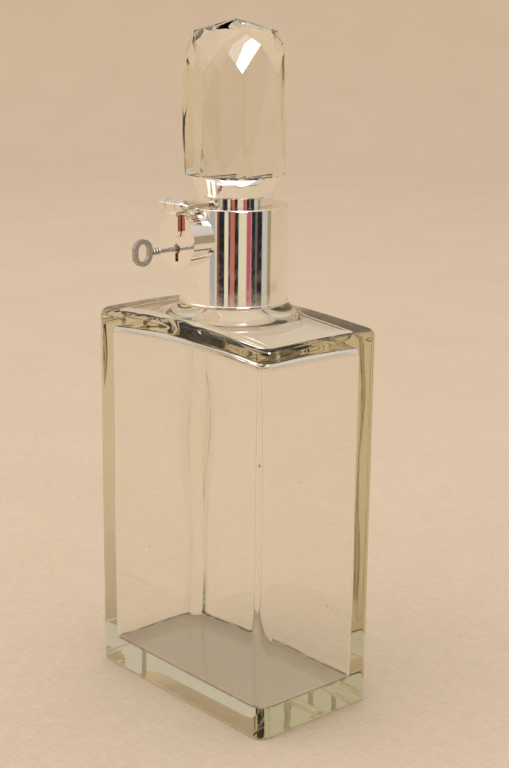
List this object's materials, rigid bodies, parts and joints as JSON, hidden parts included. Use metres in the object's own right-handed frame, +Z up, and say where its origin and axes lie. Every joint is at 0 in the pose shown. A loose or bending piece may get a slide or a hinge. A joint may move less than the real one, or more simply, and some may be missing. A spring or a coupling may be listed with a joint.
{
  "type": "locking spirit decanter",
  "caption": "Rectangular glass spirit decanter with a silver collar, a drum lock with its key and a hinged hasp that locks the facet-cut glass stopper in place.",
  "frame": {"origin": "centre of the bottle's flat base, which rests on the table", "axes": "+Z up through the stopper; +X along the bottle's wide side; the lock and its key point to -Y"},
  "size_m": [0.112, 0.0853, 0.29],
  "materials": {
    "clear_glass": "clear pressed and cut lead glass with a faint olive tint in its thick walls, polished",
    "polished_silver": "mirror-polished sterling silver with fine handling wear",
    "key_steel": "worn grey steel, dull in its hollows",
    "lock_brass": "plain filed brass",
    "plaster": "matt white plaster"
  },
  "bodies": {
    "decanter": {"glass_bottle": "clear_glass", "plaster_bedding": "plaster", "collar_sleeve": "polished_silver", "collar_top_ring": "polished_silver", "collar_foot_bead": "polished_silver", "lock_case": "polished_silver", "lock_face_plate": "polished_silver", "lock_back_plate": "lock_brass", "back_plate_screws": "key_steel", "bolt_guide_stud": "key_steel", "lever_post": "key_steel", "lever_spring": "key_steel"},
    "stopper": {"stopper_glass": "clear_glass", "stopper_mount": "polished_silver", "mount_bedding": "plaster", "hasp_strap": "polished_silver", "hinge_pin": "key_steel", "hinge_pin_ends": "polished_silver"},
    "hasp": {"hasp_tongue": "polished_silver", "hasp_staple": "polished_silver"},
    "bolt": {"lock_bolt": "lock_brass", "bolt_peg": "key_steel"},
    "lever": {"lock_lever": "lock_brass"},
    "curtain": {"keyhole_curtain": "lock_brass"},
    "key": {"key": "key_steel"}
  },
  "joints": [
    {"name": "stopper_lift", "type": "slide", "parent": "decanter", "child": "stopper", "axis": [0, 0, 1], "range_m": [0, 0.06]},
    {"name": "hasp_swing", "type": "hinge", "parent": "stopper", "child": "hasp", "pos_m": [0, -0.0324, 0.2165], "axis": [-1, 0, 0], "range_deg": [0, 150]},
    {"name": "key_turn", "type": "hinge", "parent": "decanter", "child": "curtain", "pos_m": [0, -0.0295, 0.1985], "axis": [0, 1, 0], "range_deg": [0, 360]},
    {"name": "bolt_throw", "type": "slide", "parent": "decanter", "child": "bolt", "axis": [1, 0, 0], "range_m": [0, 0.004]},
    {"name": "lever_lift", "type": "hinge", "parent": "decanter", "child": "lever", "pos_m": [-0.008, -0.02615, 0.199], "axis": [0, -1, 0], "range_deg": [0, 4], "stiffness_Nm_per_rad": 0.002, "springref_deg": -5.73, "deforming": ["lever_spring"]},
    {"name": "key_withdraw", "type": "slide", "parent": "curtain", "child": "key", "axis": [0, -1, 0], "range_m": [0, 0.03]}
  ],
  "couplings": [
    {"joint": "key_turn", "follows": "bolt_throw", "rad_per_m": 1570.8}
  ]
}
